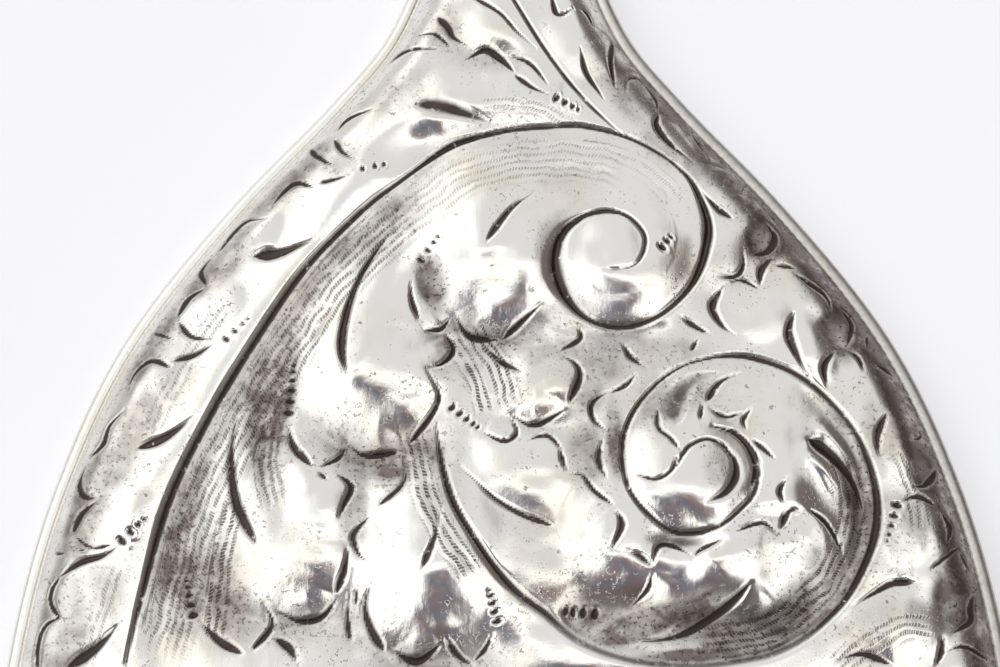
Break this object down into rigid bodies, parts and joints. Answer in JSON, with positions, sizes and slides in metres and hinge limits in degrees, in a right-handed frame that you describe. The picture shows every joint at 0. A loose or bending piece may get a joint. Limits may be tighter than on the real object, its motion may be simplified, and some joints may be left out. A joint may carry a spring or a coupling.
{
  "type": "hand mirror",
  "caption": "Antique silver hand mirror with a pear-shaped head, raised scroll and leaf ornament on the domed back, a bevelled glass and an integral handle.",
  "frame": {"origin": "bottom centre of the bounding box, with the mirror lying face down on its front ring", "axes": "+Z out of the ornamented back, +Y from the head up the handle, +X to the right when the back faces up and the handle points away"},
  "size_m": [0.1378, 0.2698, 0.0128],
  "materials": {
    "chased_silver": "gloss",
    "plain_silver": "gloss",
    "bevelled_glass": "polished",
    "silvering": "polished",
    "backing_paper": "matte",
    "board_wood": "matte",
    "packing_card": "matte",
    "wadding": "matte",
    "pitch": "satin",
    "core_steel": "satin"
  },
  "bodies": {
    "root": {"back_shell": "chased_silver", "front_frame": "plain_silver", "rim_wire": "plain_silver", "glass_bezel": "plain_silver", "mirror_glass": "bevelled_glass", "silvering": "silvering", "backing_paper": "backing_paper", "backing_board": "board_wood", "edge_packing": "packing_card", "packing_pad": "wadding", "handle_fill": "pitch", "handle_core": "core_steel"}
  },
  "joints": []
}
